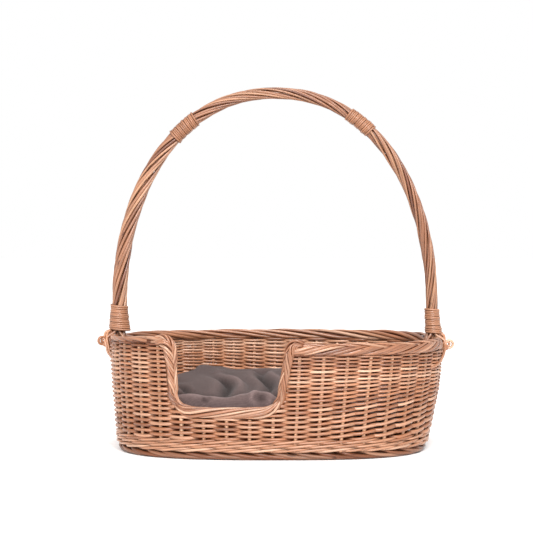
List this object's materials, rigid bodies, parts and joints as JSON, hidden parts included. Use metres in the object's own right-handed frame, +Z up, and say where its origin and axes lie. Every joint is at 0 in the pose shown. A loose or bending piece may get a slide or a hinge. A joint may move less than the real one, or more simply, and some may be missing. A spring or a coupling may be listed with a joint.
{
  "type": "wicker pet bed basket",
  "caption": "Oval willow pet bed basket with a low entry cut into the front wall, a tall fixed arched handle and a loose cushion.",
  "frame": {"origin": "middle of the bounding box, on the surface that the basket stands on", "axes": "+X along the basket's length, to the right seen from the entry side; +Y to the back wall, away from the entry; +Z up"},
  "size_m": [0.6395, 0.4369, 0.6432],
  "materials": {
    "willow": "satin",
    "skein": "satin",
    "cushion_cover": "matte",
    "cushion_filling": "matte"
  },
  "bodies": {
    "basket": {"base_mat": "willow", "foot_border": "willow", "upsett_wale": "willow", "side_weave": "willow", "entry_border": "willow", "rim_border": "willow", "stake_01": "willow", "stake_02": "willow", "stake_03": "willow", "stake_04": "willow", "stake_05": "willow", "stake_06": "willow", "stake_07": "willow", "stake_08": "willow", "stake_09": "willow", "stake_10": "willow", "stake_11": "willow", "stake_12": "willow", "stake_13": "willow", "stake_14": "willow", "stake_15": "willow", "stake_16": "willow", "stake_17": "willow", "stake_18": "willow", "stake_19": "willow", "stake_20": "willow", "stake_21": "willow", "stake_22": "willow", "stake_23": "willow", "stake_24": "willow", "stake_25": "willow", "stake_26": "willow", "stake_27": "willow", "stake_28": "willow", "stake_29": "willow", "stake_30": "willow", "stake_31": "willow", "stake_32": "willow", "stake_33": "willow", "stake_34": "willow", "stake_35": "willow", "stake_36": "willow", "stake_37": "willow", "stake_38": "willow", "handle_bow": "willow", "handle_strand_1": "willow", "handle_strand_2": "willow", "handle_strand_3": "willow", "handle_strand_4": "willow", "tie_rod_left": "willow", "tie_rod_right": "willow", "rim_loop_left": "willow", "rim_loop_right": "willow", "handle_lashing_upper_left": "skein", "handle_lashing_upper_right": "skein", "handle_lashing_lower_left": "skein", "handle_lashing_lower_right": "skein"},
    "cushion": {"cushion_top_cover": "cushion_cover", "cushion_bottom_cover": "cushion_cover", "cushion_filling": "cushion_filling"}
  },
  "joints": [
    {"name": "cushion_lift", "type": "slide", "parent": "basket", "child": "cushion", "axis": [0, 0, 1], "range_m": [0, 0.2]}
  ]
}
